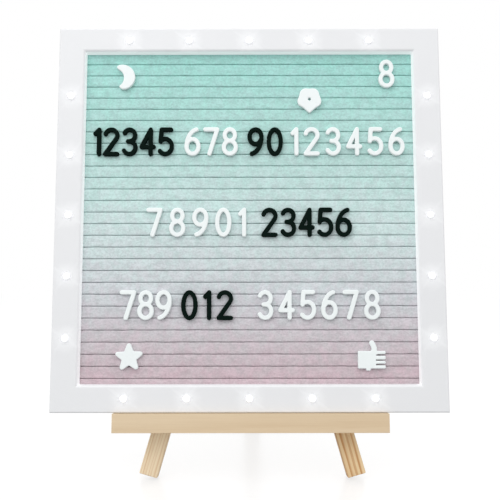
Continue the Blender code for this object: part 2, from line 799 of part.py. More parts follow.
def leg_outline():
    """The right front leg in the board's plane: a splayed bar, flat where the legs meet."""
    across = Vector((math.cos(SPLAY), math.sin(SPLAY)))
    along = Vector((-math.sin(SPLAY), math.cos(SPLAY)))
    inner = Vector((FOOT_SPREAD / 2, -(BOARD_HALF + FOOT_BELOW_BOARD))) - across * LEG_WIDTH / 2
    outer = inner + across * LEG_WIDTH
    flat = LEG_WIDTH / 2 + GAP
    meet = inner + along * ((inner.x - flat) / math.sin(SPLAY))
    shoulder = outer + along * ((LEGS_TOP - outer.y) / math.cos(SPLAY))
    return [inner, outer, shoulder, Vector((flat, LEGS_TOP)), meet]


def pin_bore(mesh, reach):
    radius = PIN_DIAMETER / 2 + PIN_PLAY
    ends = [(radius, -reach), (radius, reach)]
    return add_turned(mesh, ends, 16, lambda a, b, c: (c, PIN_HEIGHT + a, LEG_MIDDLE + b))


def build_easel(board, finishes):
    """Front legs, ledge, stop block and pin in the board's own space, and the rear leg."""
    easel = empty("easel_place", board, (EASEL_TO_RIGHT, 0, 0))
    outline = leg_outline()
    for name, side in (("front_leg_right", 1), ("front_leg_left", -1)):
        points = [(side * a, b) for a, b in outline]
        mesh = prism(points, LEG_BACK, LEG_FRONT, lambda a, b, c: (a, b, c))
        leg = piece(name, eased(mesh, EASED_EDGE), finishes["wood"], easel)
        boolean(leg, "DIFFERENCE", pin_bore(bmesh.new(), BOARD_HALF))

    top = -(BOARD_HALF + GAP)
    half = LEDGE_LENGTH / 2
    left, right = -LEDGE_TO_LEFT - half, half - LEDGE_TO_LEFT
    low, high = (left, top - LEDGE_HEIGHT, -BOARD_DEPTH), (right, top, LEDGE_LIP)
    ledge = eased(add_box(bmesh.new(), low, high), LEDGE_EDGE)
    piece("ledge", ledge, finishes["wood"], easel)

    # The stop block's under side is square to the open rear leg, whose flat top meets it.
    seat = LEG_THICKNESS / 2 + GAP
    front, back = LEG_THICKNESS / 2, -LEG_THICKNESS / 2
    rise = [
        (seat - z * math.sin(OPEN_ANGLE)) / math.cos(OPEN_ANGLE) for z in (front, back)
    ]
    section = [
        (PIN_HEIGHT + rise[0], LEG_FRONT),
        (LEGS_TOP, LEG_FRONT),
        (LEGS_TOP, LEG_BACK),
        (PIN_HEIGHT + rise[1], LEG_BACK),
    ]
    half = LEG_WIDTH / 2
    block = prism(section, -half, half, lambda a, b, c: (c, a, b))
    piece("stop_block", eased(block, EASED_EDGE / 2, 1), finishes["wood"], easel)

    shoulder = outline[2].x + (LEGS_TOP - PIN_HEIGHT) * math.tan(SPLAY)
    length = shoulder + PIN_PROUD
    radius, ease = PIN_DIAMETER / 2, PIN_DIAMETER / 10
    profile = [
        (radius - ease, -length),
        (radius, ease - length),
        (radius, length - ease),
        (radius - ease, length),
    ]
    place = (0, PIN_HEIGHT, LEG_MIDDLE)
    pin = add_turned(bmesh.new(), profile, 16, lambda a, b, c: (c, a, b))
    piece("hinge_pin", pin, finishes["steel"], easel, place)

    # The rear leg turns about the pin. Its own directions are y up the leg and z forwards.
    foot = leg_outline()[0]
    drop = (PIN_HEIGHT - foot.y) * math.cos(LEAN) + (LEG_MIDDLE - LEG_BACK) * math.sin(LEAN)
    reach = (drop - LEG_THICKNESS / 2 * math.sin(REAR_LEG_LEAN)) / math.cos(REAR_LEG_LEAN)
    round_top = [math.pi / 2 * k / 6 for k in range(7)]
    half = LEG_THICKNESS / 2
    side = [(-reach, -half), (-reach, half)]
    side += [(half * math.sin(t), half * math.cos(t)) for t in round_top]
    side += [(half, -half)]
    mesh = prism(side, -LEG_WIDTH / 2, LEG_WIDTH / 2, lambda a, b, c: (c, a, b))
    hinge = empty("rear_leg_hinge", easel, place, (OPEN_ANGLE, 0, 0))
    leg = piece("rear_leg", eased(mesh, EASED_EDGE), finishes["wood"], hinge)
    radius = PIN_DIAMETER / 2 + PIN_PLAY
    ends = [(radius, -LEG_WIDTH), (radius, LEG_WIDTH)]
    hole = add_turned(bmesh.new(), ends, 16, lambda a, b, c: (c, a, b))
    boolean(leg, "DIFFERENCE", hole)


def stand_on_floor(root):
    """Moves the whole part so that its lowest point is at zero and its middle above the origin."""
    bpy.context.view_layer.update()
    graph = bpy.context.evaluated_depsgraph_get()
    corners = []
    for obj in bpy.context.collection.objects:
        if obj.type == "MESH" and not obj.hide_render:
            mesh = obj.evaluated_get(graph).to_mesh()
            corners += [obj.matrix_world @ vert.co for vert in mesh.vertices]
    low, high = np.min(corners, axis=0), np.max(corners, axis=0)
    root.location = (-(low[0] + high[0]) / 2, -(low[1] + high[1]) / 2, -low[2])


for old in list(bpy.data.objects):
    bpy.data.objects.remove(old)

FINISHES = {
    "frame": finish("white_plastic", (0.86, 0.86, 0.87), 0.4),
    "light": finish("clear_light", (0.95, 0.95, 0.93), 0.15),
    "felt": finish("felt", (0.55, 0.66, 0.66), 0.95),
    "cell": finish("cell_jacket", (0.18, 0.19, 0.2), 0.35),
    "switch": finish("black_plastic", (0.03, 0.03, 0.03), 0.4),
    "wood": finish("pine", (0.68, 0.52, 0.35), 0.6),
    "steel": finish("steel", (0.6, 0.6, 0.6), 0.3, 1.0),
    "black": finish("black_figure", (0.02, 0.04, 0.035), 0.45),
    "white": finish("white_figure", (0.9, 0.9, 0.9), 0.4),
}

ROOT = empty("letter_board")
BOARD = empty("board_place", ROOT, rotation=(math.pi / 2 - LEAN, 0, 0))
build_board(BOARD, FINISHES)
build_figures(BOARD, FINISHES)
build_battery_box(BOARD, FINISHES)
build_easel(BOARD, FINISHES)
stand_on_floor(ROOT)
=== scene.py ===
"""A felt letter board with lights round its frame, standing on a small wooden easel."""

import math

import bmesh
import bpy
import numpy as np
from mathutils import Matrix, Vector
from mathutils.geometry import tessellate_polygon


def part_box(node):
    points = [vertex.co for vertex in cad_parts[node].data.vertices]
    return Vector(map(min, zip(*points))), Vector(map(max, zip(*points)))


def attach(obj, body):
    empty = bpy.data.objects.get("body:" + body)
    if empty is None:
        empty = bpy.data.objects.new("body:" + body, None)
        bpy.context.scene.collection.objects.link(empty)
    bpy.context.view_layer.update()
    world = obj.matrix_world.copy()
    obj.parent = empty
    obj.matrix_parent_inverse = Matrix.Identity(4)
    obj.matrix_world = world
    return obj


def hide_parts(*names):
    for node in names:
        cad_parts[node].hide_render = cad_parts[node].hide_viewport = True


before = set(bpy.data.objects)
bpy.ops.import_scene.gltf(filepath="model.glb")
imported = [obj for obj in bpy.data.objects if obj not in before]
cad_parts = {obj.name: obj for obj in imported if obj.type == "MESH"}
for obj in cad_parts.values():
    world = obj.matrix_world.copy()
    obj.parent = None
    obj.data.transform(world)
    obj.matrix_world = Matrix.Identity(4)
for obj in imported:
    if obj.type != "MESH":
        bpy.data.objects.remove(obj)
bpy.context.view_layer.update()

# Frame. One white plastic moulding: a channel bent round a square, open behind, with its inner
# edge rolled towards the felt and an eased hole for each light. The board leans back, so every
# piece of it is worked out as u to the right, v up the face and w out of it, and then placed.
LEAN = math.radians(13)
BOARD_AXES = np.array(
    (
        (1, 0, 0),
        (0, math.sin(LEAN), math.cos(LEAN)),
        (0, -math.cos(LEAN), math.sin(LEAN)),
    )
)
FRAME_DEPTH = 0.016
FACE_MIDDLE = np.mean(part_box("frame"), axis=0) + FRAME_DEPTH / 2 * BOARD_AXES[2]
FRAME_HALF = 0.127
LIGHT_LINE = FRAME_HALF - 0.00885
LIGHT_PITCH = 0.04


def on_board(u, v, w):
    """Points in the room: the face's middle plus u, v and w times their directions."""
    return FACE_MIDDLE + np.stack(np.broadcast_arrays(u, v, w), -1) @ BOARD_AXES


def skin(points, close_rows=False, close_columns=False, ends=False):
    """A quad between each point of a grid, its neighbour and the same two in the next row.

    Closing joins the last row or column to the first, and ends puts a face on each end row.
    """
    rows, columns = points.shape[:2]
    i, j = np.indices((rows - (not close_rows), columns - (not close_columns)))
    k, m = (i + 1) % rows, (j + 1) % columns
    quads = np.stack((i * columns + j, i * columns + m, k * columns + m, k * columns + j), -1)
    faces = quads.reshape(-1, 4).tolist()
    if ends:
        last = (rows - 1) * columns
        faces += [list(range(columns)), list(range(last, last + columns))]
    return points.reshape(-1, 3), faces


def piece(name, skins, material, body="stand", stands_for=(), sharp=32):
    """One object of several skins, facing outwards, smooth but for edges sharper than sharp.

    Without a body it is only a tool for a cut.
    """
    points, faces, first = [], [], 0
    for part_points, part_faces in skins:
        points.append(part_points)
        faces += [[first + k for k in face] for face in part_faces]
        first += len(part_points)
    mesh = bpy.data.meshes.new(name)
    mesh.from_pydata(np.concatenate(points).tolist(), [], faces)
    work = bmesh.new()
    work.from_mesh(mesh)
    bmesh.ops.recalc_face_normals(work, faces=work.faces)
    work.to_mesh(mesh)
    work.free()
    mesh.shade_smooth()
    mesh.set_sharp_from_angle(angle=math.radians(sharp))
    mesh.materials.append(material)
    obj = bpy.data.objects.new(name, mesh)
    bpy.context.scene.collection.objects.link(obj)
    if body:
        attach(obj, body)
        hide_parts(*stands_for)
    return obj


def circle(steps):
    """That many angles evenly round a circle."""
    return 2 * np.pi * np.arange(steps) / steps


def bend(radius, centre_p, centre_w, start, end, steps):
    """(p, w) points on a circle from one angle to another, in degrees."""
    turn = np.radians(np.linspace(start, end, steps))
    return np.stack((centre_p + radius * np.cos(turn), centre_w + radius * np.sin(turn)), -1)


def light_places():
    """(u, v) of every light: five along each side, on a line near the frame's outer edge."""
    along = (np.arange(5) - 2) * LIGHT_PITCH
    line = np.full(5, LIGHT_LINE)
    sides = ((along, line), (along, -line), (line, along), (-line, along))
    return np.concatenate([np.stack(side, -1) for side in sides])


def turned(profile, centres, steps):
    """Skins of a profile of (radius, height) turned about the outward line at each (u, v)."""
    turn = circle(steps)
    ring = profile[:, 0, None]
    for u, v in centres:
        points = on_board(u + ring * np.cos(turn), v + ring * np.sin(turn), profile[:, 1, None])
        yield skin(points, close_columns=True, ends=True)


class Wire:
    """A socket in a material. Arithmetic on wires adds Math nodes, and add() any other node."""

    def __init__(self, tree, socket=None):
        self.tree, self.socket = tree, socket

    def add(self, kind, settings=(), sockets=(), out=0):
        """A node of this kind: its settings first, then its sockets' values or wires.

        The setting stops holds the places and colours of a colour ramp.
        """
        node = self.tree.nodes.new(kind)
        for name, value in dict(settings).items():
            if name == "stops":
                ramp = node.color_ramp.elements
                ramp[0].position, ramp[-1].position = value[0][0], value[-1][0]
                for place, _ in value[1:-1]:
                    ramp.new(place)
                for element, (_, colour) in zip(ramp, value):
                    element.color = (*colour, 1)
            else:
                setattr(node, name, value)
        for name, value in dict(sockets).items():
            if isinstance(value, Wire):
                self.tree.links.new(value.socket, node.inputs[name])
            else:
                node.inputs[name].default_value = value
        return Wire(self.tree, node.outputs[out])

    def maths(self, operation, *others):
        sockets = dict(enumerate((self, *others)))
        return self.add("ShaderNodeMath", {"operation": operation}, sockets)

    def __add__(self, other):
        return self.maths("ADD", other)

    def __mul__(self, other):
        return self.maths("MULTIPLY", other)

    __radd__, __rmul__ = __add__, __mul__

    def __sub__(self, other):
        return self.maths("SUBTRACT", other)

    def __rsub__(self, other):
        return self * -1 + other

    def __truediv__(self, other):
        return self.maths("DIVIDE", other)

    def __abs__(self):
        return self.maths("ABSOLUTE")

    def clamp(self, low, high):
        return self.maths("MINIMUM", high).maths("MAXIMUM", low)

    def step(self, low, high, start=0.0, end=1.0):
        """Rises smoothly from start to end as this wire goes from low to high."""
        settings = {"interpolation_type": "SMOOTHSTEP"}
        sockets = {"Value": self, "From Min": low, "From Max": high, "To Min": start, "To Max": end}
        return self.add("ShaderNodeMapRange", settings, sockets)

    def mix(self, first, second):
        """The first colour where this wire is 0 and the second where it is 1."""
        sockets = {0: self, 6: first, 7: second}
        return self.add("ShaderNodeMix", {"data_type": "RGBA"}, sockets, 2)

    def times(self, colour):
        """This colour times another one, part by part."""
        sockets = {0: self, 1: colour}
        return self.add("ShaderNodeVectorMath", {"operation": "MULTIPLY"}, sockets)

    def scaled(self, share):
        """This colour times a number."""
        sockets = {0: self, "Scale": share}
        return self.add("ShaderNodeVectorMath", {"operation": "SCALE"}, sockets)

    def placed(self, **place):
        """This wire's places as seen from a frame with this Location, Rotation or Scale."""
        return self.add("ShaderNodeMapping", {"vector_type": "TEXTURE"}, {"Vector": self, **place})

    def noise(self, scale, detail=2.0, roughness=0.5, stretch=(1, 1, 1)):
        """Noise over this wire's places, from 0 to 1, its pattern drawn out by stretch."""
        size = tuple(1 / k for k in stretch)
        place = self.add("ShaderNodeMapping", {}, {"Vector": self, "Scale": size})
        sockets = {"Vector": place, "Scale": scale, "Detail": detail, "Roughness": roughness}
        return self.add("ShaderNodeTexNoise", {}, sockets)

    def axes(self):
        """The three numbers of a wire that holds a place."""
        return [self.add("ShaderNodeSeparateXYZ", {}, {0: self}, k) for k in range(3)]


def how_far(x, y):
    """The length of a way of which x and y are the two parts."""
    return (x * x + y * y).maths("SQRT")


def material(name, **plain):
    """A new material with these plain values on its shader, and a wire for its other nodes."""
    made = bpy.data.materials.new(name)
    made.use_nodes = True
    shader = made.node_tree.nodes["Principled BSDF"]
    for socket, value in plain.items():
        shader.inputs[socket.replace("_", " ")].default_value = value
    return made, shader, Wire(made.node_tree)


def drive(shader, wire, **varying):
    """Joins wires to the shader's sockets; Bump is a height in metres for a Bump node."""
    for socket, value in varying.items():
        if socket == "Bump":
            height = {"Height": value, "Distance": 1.0, "Strength": 1.0}
            socket, value = "Normal", wire.add("ShaderNodeBump", {}, height)
        wire.tree.links.new(value.socket, shader.inputs[socket.replace("_", " ")])


def paint(red, green, blue):
    """A colour on a screen, 0 to 255 each, as the light that it gives back."""
    part = np.array((red, green, blue)) / 255
    return tuple(np.where(part <= 0.04045, part / 12.92, ((part + 0.055) / 1.055) ** 2.4))


def grey(level):
    """A grey as a colour socket takes it."""
    return (level, level, level, 1)


def in_room(wire):
    """The place of each point in the room: the pieces stand at its origin."""
    return wire.add("ShaderNodeTexCoord", out="Object")


def board_place(wire):
    """(u, v, w) of each point of a piece on the board."""
    return in_room(wire).placed(Location=FACE_MIDDLE, Rotation=(math.pi / 2 - LEAN, 0, 0))


def moulded(name, colour, roughness=0.42, grain=1.0, gloss=0.45, painted_glow=False):
    """Satin moulded plastic: a fine spark texture, faint flow clouds and a few handling marks.

    With the glow switch on, its emission paints the light of the lights in it onto it: a painted
    halo round each light and a painted glow on its inner wall.
    """
    made, shader, wire = material(name, IOR=1.46, Specular_IOR_Level=gloss)
    place = in_room(wire)
    spark = place.noise(3200, 2)
    cloud = place.noise(22, 3)
    rub = place.noise(90, 4, 0.6, (1, 1, 6))
    shade = cloud.step(0.3, 0.7).mix(tuple(k * 0.985 for k in colour) + (1,), (*colour, 1))
    drive(
        shader,
        wire,
        Base_Color=shade,
        Roughness=roughness + cloud * 0.06 + rub.step(0.62, 0.78) * 0.07,
        Bump=spark * (0.000012 * grain) + place.noise(160, 2) * 0.00001,
    )
    if painted_glow:
        # The way from the nearest light, which is one of an upright or of a level bar.
        u, v, w = board_place(wire).axes()
        along_u, along_v = (
            k - (k / LIGHT_PITCH).maths("ROUND").clamp(-2, 2) * LIGHT_PITCH for k in (u, v)
        )
        from_u, from_v = (k - k.maths("SIGN") * LIGHT_LINE for k in (u, v))
        upright = from_u * from_u + along_v * along_v
        level = along_u * along_u + from_v * from_v
        beside = upright.maths("LESS_THAN", level)
        to_right = along_u + (from_u - along_u) * beside
        to_top = from_v + (along_v - from_v) * beside
        gap = upright.maths("MINIMUM", level).maths("SQRT")
        # Painted light: round each light the face glows, with two faint painted streaks crossing in
        # it and a broken grey ring of painted shade round the hole, where the glow is dimmed.
        painted_streaks = [
            abs(to_right * math.sin(slant) - to_top * math.cos(slant)).step(0.0002, 0.0016, 1, 0)
            for slant in (math.radians(-34), math.radians(52))
        ]
        streak = painted_streaks[0].maths("MAXIMUM", painted_streaks[1] * 0.7)
        uneven = 0.66 + place.noise(170, 3, 0.65) * 0.68
        near = gap * (1.12 - streak * 0.3) * uneven
        broken = place.noise(620, 2, 0.5).step(0.42, 0.6) * (1 - streak * 0.6)
        ring = gap.step(0.0024, 0.003) * gap.step(0.0038, 0.0052, 1, 0) * broken
        painted_close_glow = (gap * uneven).step(0.002, 0.0048, 1, 0) * 0.055
        painted_halo = (near.step(0.0022, 0.0122, 1, 0) * 0.08 + painted_close_glow) * (1 - ring * 0.65)
        painted_halo = painted_halo * w.step(-0.003, -0.001)
        # Painted light: the inner wall glows with emission, as if the thin wall let some of the
        # light behind the face through, least at the foot.
        inner = abs(u).maths("MAXIMUM", abs(v)).step(FRAME_HALF - 0.012, FRAME_HALF - 0.0145)
        foot = (v + abs(u)).step(0.0, -0.004)
        painted_wall_glow = w.step(0.0, -0.0018) * inner * (0.27 - foot * 0.22)
        drive(shader, wire, Emission_Color=(painted_halo + painted_wall_glow).mix(grey(0), grey(1)))
        shader.inputs["Emission Strength"].default_value = 1.0
    return made


WHITE = paint(231, 232, 234)
frame_plastic = moulded("white_frame_plastic", WHITE, painted_glow=True)
OUTER_EDGE, INNER_EDGE = 0.001, 0.0018
BAR, BAR_DEPTH, PLASTIC = 0.0179, 0.0056, 0.002
# The inner edge rolls over to 6 degrees from straight back, and the wall goes on at that draft.
DRAFT = math.radians(6)
# The top bar is a little narrower than the other three.
TOP_BAR_LESS = 0.0014
wall = (BAR_DEPTH - INNER_EDGE * (1 - math.sin(DRAFT))) * math.tan(DRAFT)
rolled = BAR - wall - INNER_EDGE * math.cos(DRAFT)
frame_section = np.concatenate(
    (
        ((0.0, -FRAME_DEPTH), (PLASTIC, -FRAME_DEPTH), (PLASTIC, -PLASTIC)),
        ((0.0157, -PLASTIC), (0.0157, -BAR_DEPTH)),
        ((BAR - 0.0003, -BAR_DEPTH), (BAR, -BAR_DEPTH + 0.0002)),
        ((BAR - wall * 0.9, -BAR_DEPTH + 0.9 * wall / math.tan(DRAFT)),),
        bend(INNER_EDGE, rolled, -INNER_EDGE, math.degrees(DRAFT), 90, 12),
        ((rolled - 0.0002, 0), (OUTER_EDGE + 0.0002, 0)),
        bend(OUTER_EDGE, OUTER_EDGE, -OUTER_EDGE, 90, 180, 7),
        ((0.0, -0.0014),),
    )
)
CORNER_LINES = 0.0004
# Each side runs between two mitres, with a line of points close to each of them.
reach = FRAME_HALF - frame_section[:, 0, None]
near = reach - CORNER_LINES
bottom, right = (-reach, -near, near), (reach, reach, reach)
top, left = (reach, near, -near), (-reach, -reach, -reach)
frame_u = np.concatenate((*bottom, *right, *top, *left), 1)
frame_v = np.roll(frame_u, 3, axis=1)
inner_side = np.clip((frame_section[:, 0, None] - 0.012) / 0.003, 0, 1)
frame_v = frame_v + TOP_BAR_LESS * inner_side * (frame_v > 0)
frame_skin = skin(
    on_board(frame_u, frame_v, frame_section[:, 1, None]), close_rows=True, close_columns=True
)
frame_piece = piece(
    "white_frame", [frame_skin], frame_plastic, stands_for=["frame"]
)
HOLE, HOLE_EASED = 0.0027, 0.00288
hole = np.array(((HOLE, -0.004), (HOLE, -0.00018), (HOLE_EASED, 0.0), (HOLE_EASED, 0.001)))
drill = piece("light_drill", turned(hole, light_places(), 36), frame_plastic, body="")
drilling = frame_piece.modifiers.new("light_holes", "BOOLEAN")
drilling.object, drilling.solver = drill, "EXACT"
graph = bpy.context.evaluated_depsgraph_get()
drilled = bpy.data.meshes.new_from_object(frame_piece.evaluated_get(graph))
frame_piece.modifiers.clear()
frame_piece.data = drilled
drilled.set_sharp_from_angle(angle=math.radians(32))
bpy.data.objects.remove(drill)

# Lights. Round-nosed clear lights stand on a narrow ring of white circuit strip behind the
# frame's face, and their noses show in its holes. They are lit, so each has a bright core.
strip_plastic = moulded("circuit_strip", paint(236, 238, 236), 0.3)
STRIP_HALF, STRIP_FRONT, STRIP_BACK = 0.004, -0.0023, -0.0035
strip_side = LIGHT_LINE + STRIP_HALF * np.array((1, -1, -1, 1))[:, None]
strip_level = np.array((STRIP_FRONT, STRIP_FRONT, STRIP_BACK, STRIP_BACK))[:, None]
strip_ring = on_board(strip_side * (1, 1, -1, -1), strip_side * (1, -1, -1, 1), strip_level)
piece(
    "light_circuit",
    [skin(strip_ring, close_rows=True, close_columns=True)],
    strip_plastic,
    stands_for=["light_strip"],
)
light_lens, shader, wire = material("lit_lens", Roughness=0.12, Emission_Strength=1.0)
core = board_place(wire).axes()[2].step(0.0005, 0.0016)
drive(
    shader,
    wire,
    Base_Color=core.mix((*paint(235, 237, 240), 1), grey(0.95)),
    Emission_Color=core.mix(grey(0.22), (0.9, 0.9, 0.92, 1)),
)
NOSE, NOSE_FOOT = 0.00267, 0.0028
nose = np.concatenate(
    (
        ((NOSE_FOOT, -0.00225), (NOSE_FOOT, -0.0017), (NOSE, -0.0016), (NOSE, -0.0009)),
        bend(NOSE, 0, -0.0008, 0, 84, 12),
    )
)
piece(
    "lights",
    list(turned(nose, light_places(), 28)),
    light_lens,
    stands_for=["light_strip"],
)

# Felt. A board wrapped in wool felt that is tucked into narrow grooves, so each bar between two
# grooves has soft lips. The felt is printed with a fade from sea green down to rose, and its
# lighter and darker fibres show as heather.
FELT_HALF, FELT_FACE, FELT_BACK = 0.1143, -0.0059, -0.0134
GROOVES, PITCH, FIRST_GROOVE = 28, 0.00776, 0.10386
GROOVE_FLOOR, MOUTH, LIP = -0.0096, 0.00013, 0.0007
FELT_COLUMNS = 170


def lattice(u, v, size, seed):
    """Smooth random heights from -1 to 1: each cell's corners blended by 3t^2 - 2t^3."""
    table = np.random.default_rng(seed).uniform(-1, 1, (512, 512))
    x, y = u / size + 256, v / size + 256
    i, j = np.floor(x).astype(int), np.floor(y).astype(int)
    s, t = ((3 - 2 * k) * k * k for k in (x - i, y - j))
    i, j = i % 511, j % 511
    low = table[i, j] * (1 - s) + table[i + 1, j] * s
    high = table[i, j + 1] * (1 - s) + table[i + 1, j + 1] * s
    return low * (1 - t) + high * t


def felt_section():
    """v and w down the felt: each groove's upper lip and wall, and then their mirror images."""
    turn = np.radians((0, 22, 45, 68, 90))
    lip = np.stack((MOUTH + LIP * (1 - np.sin(turn)), LIP * (np.cos(turn) - 1)), -1)
    wall = ((MOUTH, -0.0021), (MOUTH * 0.8, GROOVE_FLOOR - FELT_FACE))
    upper = np.concatenate((((0.0026, 0.0),), lip, wall))
    both = np.concatenate((upper, upper[::-1] * (-1, 1)))
    middles = FIRST_GROOVE - PITCH * np.arange(GROOVES)
    v = (middles[:, None] + both[:, 0]).ravel()
    w = np.tile(both[:, 1], GROOVES) + FELT_FACE
    return v, w


felt_v, felt_w = felt_section()
columns = np.linspace(-FELT_HALF, FELT_HALF, FELT_COLUMNS)
u, v = np.broadcast_arrays(columns, felt_v[:, None])
inside = np.clip((0.1135 - np.abs(u)) / 0.002, 0, 1)
ridge = np.clip((felt_w - FELT_FACE + 0.0012) / 0.0012, 0, 1)[:, None]
soft = lattice(u, v * 3, 0.0055, 3) * 0.6 + lattice(u, v, 0.0017, 4) * 0.4
pile = lattice(u, v, 0.0024, 5) * 0.5 + lattice(u, v, 0.009, 6)
v = v + inside * soft * 0.00015
w = felt_w[:, None] + inside * ridge * pile * 0.00007
# Two more rows at the top and at the bottom carry the face to the board's edge and round it.
row = np.ones((1, FELT_COLUMNS))
v = np.concatenate((FELT_HALF * row, FELT_HALF * row, v, -FELT_HALF * row, -FELT_HALF * row))
w = np.concatenate((FELT_BACK * row, FELT_FACE * row, w, FELT_FACE * row, FELT_BACK * row))
felt_points = on_board(columns, v, w).transpose(1, 0, 2)
felt, shader, wire = material("wool_felt", Sheen_Weight=0.25, Sheen_Roughness=0.5, IOR=1.3)
place = board_place(wire)
_, v, w = place.axes()
# Heights up the board in millimetres, and the colour that the felt is printed in there.
FADE = (
    (104, (163, 214, 207)),
    (48, (181, 216, 211)),
    (-4, (202, 221, 220)),
    (-52, (204, 207, 211)),
    (-104, (200, 182, 188)),
)
FADE_SPAN = 0.23
height = (v + place.noise(60, 3) * 0.012) / FADE_SPAN + 0.474
stops = [(0.5 + up / 1000 / FADE_SPAN, paint(*colour)) for up, colour in reversed(FADE)]
printed = height.add("ShaderNodeValToRGB", {"stops": stops}, {"Fac": height})
cloud = place.noise(110, 3, 0.6)
blotch = place.noise(300, 2, 0.55, (1.4, 1, 1))
streak = place.noise(520, 3, 0.65, (4, 1, 1))
heather = place.noise(900, 3, 0.7, (1.2, 1, 1))
fleck = place.noise(1700, 2, 0.6)
tone = 0.5
for pattern, share in ((cloud, 0.4), (blotch, 0.6), (streak, 0.8), (heather, 1.5)):
    tone = (pattern - 0.5) * share + tone
felt_colour = tone.step(0.1, 0.9).mix(printed.scaled(0.86), printed.scaled(1.12))
warm, cool = (1.02, 0.985, 1.0, 1), (0.975, 1.012, 1.0, 1)
felt_colour = felt_colour.times(
    place.noise(210, 3, 0.6, (1, 1.5, 1)).step(0.35, 0.65).mix(warm, cool)
)
# Down in a groove the felt is painted darker as shade, most of all near the top of the board.
groove_painted_shade_mask = (w - FELT_FACE).step(-0.0005, -0.002)
painted_shadow_share = 0.05 + v.step(0.03, 0.075) * 0.4
felt_colour = (groove_painted_shade_mask * painted_shadow_share).mix(felt_colour, (*paint(110, 128, 128), 1))
drive(
    shader,
    wire,
    Base_Color=felt_colour,
    Roughness=0.9 + fleck * 0.1,
    Bump=heather * 0.00016 + fleck * 0.00008 + streak * 0.0001,
)
piece(
    "felt_board",
    [skin(felt_points, close_columns=True, ends=True)],
    felt,
    stands_for=["felt_panel"],
    sharp=60,
)

# Figures. Thin plastic digits and pictures with rounded edges, pushed in by two tabs behind
# each. Their outlines are those of the fitted solids, drawn smooth and carried round the edge.
EDGE_ROUND, FIGURE_THICKNESS = 0.0006, 0.0024
TAB_HALF_HEIGHT = 0.0003


def outlines(node, level):
    """Closed outlines of a solid's flat faces at its lowest (0) or highest (-1) w.

    They are the sides that one of those faces has and its neighbour in the same plane has not.
    """
    solid = bmesh.new()
    solid.from_mesh(node.data)
    bmesh.ops.remove_doubles(solid, verts=solid.verts, dist=1e-6)
    spots = (np.array([k.co for k in solid.verts]) - FACE_MIDDLE) @ BOARD_AXES.T
    plane = np.sort(spots[:, 2])[level]
    flat = {k for k in solid.faces if all(abs(spots[p.index, 2] - plane) < 1e-5 for p in k.verts)}
    follow = {
        side.vert.index: side.link_loop_next.vert.index
        for face in flat
        for side in face.loops
        if not all(other in flat for other in side.edge.link_faces)
    }
    loops = []
    while follow:
        start, after = follow.popitem()
        loop = [start]
        while after != start:
            loop.append(after)
            after = follow.pop(after)
        loops.append(spots[loop, :2])
    solid.free()
    return loops, plane


def smoothed(loop, spacing=0.00038):
    """A curve through the points: each stretch is a cubic whose slopes at its two ends are those
    of the circle through three points there, or of the stretch itself at a sharp corner."""
    ahead = np.roll(loop, -1, 0) - loop
    length = np.linalg.norm(ahead, axis=1)[:, None]
    heading = ahead / length
    behind, before = np.roll(heading, 1, 0), np.roll(length, 1, 0)
    slope = behind * length + heading * before
    slope /= np.linalg.norm(slope, axis=1)[:, None]
    corner = ((behind * heading).sum(1) < math.cos(math.radians(52)))[:, None]
    reach = np.minimum(length, before)
    leave = np.where(corner, heading, slope) * reach
    arrive = np.roll(np.where(corner, behind, slope) * reach, -1, 0)
    curve = []
    for a, b, c, d, size in zip(loop, np.roll(loop, -1, 0), leave, arrive, length[:, 0]):
        t = np.linspace(0, 1, max(2, round(size / spacing)), endpoint=False)[:, None]
        curve.append(
            (2 * t**3 - 3 * t**2 + 1) * a
            + (t**3 - 2 * t**2 + t) * c
            + (3 * t**2 - 2 * t**3) * b
            + (t**3 - t**2) * d
        )
    return np.concatenate(curve)


def inward(curve):
    """How each point moves per unit of inset: the mean of its two sides' left-hand directions,
    lengthened at a corner so that both sides keep their distance."""
    ahead = np.roll(curve, -1, 0) - curve
    ahead /= np.linalg.norm(ahead, axis=1)[:, None]
    mean = ahead + np.roll(ahead, 1, 0)
    mean /= np.linalg.norm(mean, axis=1)[:, None]
    lengthen = np.clip((mean * ahead).sum(1), 0.55, 1)[:, None]
    return np.stack((-mean[:, 1], mean[:, 0]), -1) / lengthen


def rounded_plate(loops, back, front):
    """Skins of a plate: each outline rises from the back and is then inset along a quarter of a
    circle to the front, and the two ends are filled."""
    turn = np.radians((0, 15, 32, 50, 68, 84, 90))
    inset = np.concatenate(((0, 0), EDGE_ROUND * (1 - np.cos(turn)), (EDGE_ROUND + 0.0001,)))
    height = np.concatenate(
        ((back, back + 0.0001), front - EDGE_ROUND * (1 - np.sin(turn)), (front,))
    )
    points, faces, first, edges = [], [], 0, ([], [])
    for loop in loops:
        curve = smoothed(loop)
        flat = curve + inset[:, None, None] * inward(curve)
        walls = on_board(flat[..., 0], flat[..., 1], height[:, None])
        part, sides = skin(walls, close_columns=True)
        points.append(part)
        faces += [[first + k for k in side] for side in sides]
        for end, row in zip(edges, (0, len(inset) - 1)):
            start = first + row * len(curve)
            end.append([(*spot, start + k) for k, spot in enumerate(flat[row])])
        first += len(part)
    for end in edges:
        names = [name for ring in end for *_, name in ring]
        rings = [[Vector((x, y, 0)) for x, y, _ in ring] for ring in end]
        faces += [[names[k] for k in corner] for corner in tessellate_polygon(rings)]
    return np.concatenate(points), faces


